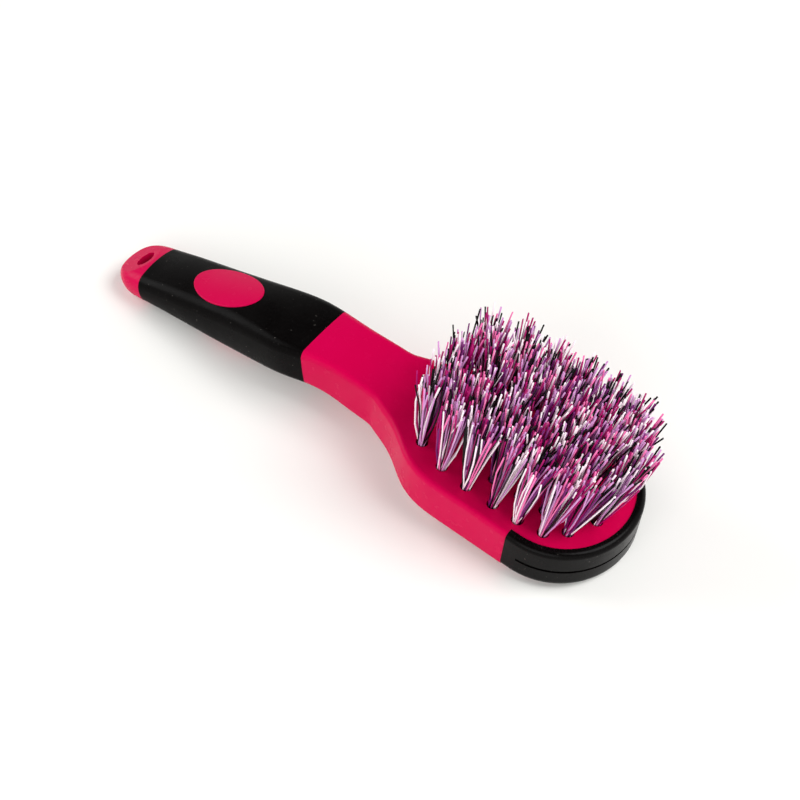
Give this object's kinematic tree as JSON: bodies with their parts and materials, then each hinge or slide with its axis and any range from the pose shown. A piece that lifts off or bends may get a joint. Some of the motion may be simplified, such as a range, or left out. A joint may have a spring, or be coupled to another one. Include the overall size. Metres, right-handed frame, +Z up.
{
  "type": "hoof brush",
  "caption": "Hand brush for hooves and buckets: a cranked plastic handle with a rubber grip sleeve and a hanging slot, and an oval head of stiff bristle tufts with a rubber nose bumper.",
  "frame": {"origin": "middle of the base of the bounding box, on the surface that the brush rests on", "axes": "+X along the brush from the tail to the nose, +Y across it, +Z up, the way the bristles point; it is symmetric about the XZ plane"},
  "size_m": [0.263, 0.0672, 0.067],
  "materials": {
    "pink_moulding": "gloss",
    "grip_rubber": "matt",
    "bumper_rubber": "satin",
    "bristle": "satin",
    "staple_wire": "plain"
  },
  "bodies": {
    "root": {"brush_body": "pink_moulding", "grip_sleeve": "grip_rubber", "nose_bumper": "bumper_rubber", "tuft_row_01": "bristle", "tuft_row_02": "bristle", "tuft_row_03": "bristle", "tuft_row_04": "bristle", "tuft_row_05": "bristle", "tuft_row_06": "bristle", "tuft_row_07": "bristle", "tuft_row_08": "bristle", "tuft_row_09": "bristle", "tuft_row_10": "bristle", "tuft_row_11": "bristle", "tuft_row_12": "bristle", "tuft_row_13": "bristle", "tuft_row_14": "bristle", "anchor_row_01": "staple_wire", "anchor_row_02": "staple_wire", "anchor_row_03": "staple_wire", "anchor_row_04": "staple_wire", "anchor_row_05": "staple_wire", "anchor_row_06": "staple_wire", "anchor_row_07": "staple_wire", "anchor_row_08": "staple_wire", "anchor_row_09": "staple_wire", "anchor_row_10": "staple_wire", "anchor_row_11": "staple_wire", "anchor_row_12": "staple_wire", "anchor_row_13": "staple_wire", "anchor_row_14": "staple_wire"}
  },
  "joints": []
}
